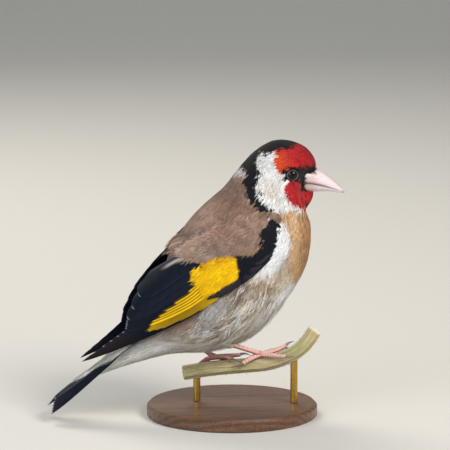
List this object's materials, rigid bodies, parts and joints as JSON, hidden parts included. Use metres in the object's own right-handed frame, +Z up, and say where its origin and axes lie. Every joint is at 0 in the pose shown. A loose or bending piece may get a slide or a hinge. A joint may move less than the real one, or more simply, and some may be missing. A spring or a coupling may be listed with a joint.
{
  "type": "european goldfinch model",
  "caption": "Life-size perched European goldfinch with folded wings, gripping a short thistle stem on a plain round display stand",
  "frame": {"origin": "centre of the underside of the display base", "axes": "+X is the way the bird faces, +Y is its left side, +Z is up"},
  "size_m": [0.0976, 0.056, 0.0909],
  "materials": {
    "head_plumage": "soft short feathers, matt",
    "collar_plumage": "soft feathers, matt",
    "body_plumage": "soft feathers, matt",
    "bill": "horn, satin",
    "tail_feathers": "firm feathers, slight sheen",
    "eyes": "wet gloss",
    "wing_feathers": "firm feathers, slight sheen",
    "legs": "scaly skin, satin",
    "thistle_stem": "dry ribbed stem, matt",
    "base_wood": "turned hardwood, satin",
    "stand_brass": "brushed, satin"
  },
  "bodies": {
    "root": {"head": "head_plumage", "neck": "collar_plumage", "torso": "body_plumage", "bill_upper": "bill", "bill_lower": "bill", "tail": "tail_feathers", "eye_right": "eyes", "eye_left": "eyes", "wing_right": "wing_feathers", "wing_left": "wing_feathers", "leg_right": "legs", "leg_left": "legs", "foot_right": "legs", "foot_left": "legs", "perch_stem": "thistle_stem", "stand_base": "base_wood", "stand_rod_back": "stand_brass", "stand_rod_front": "stand_brass"}
  },
  "joints": []
}
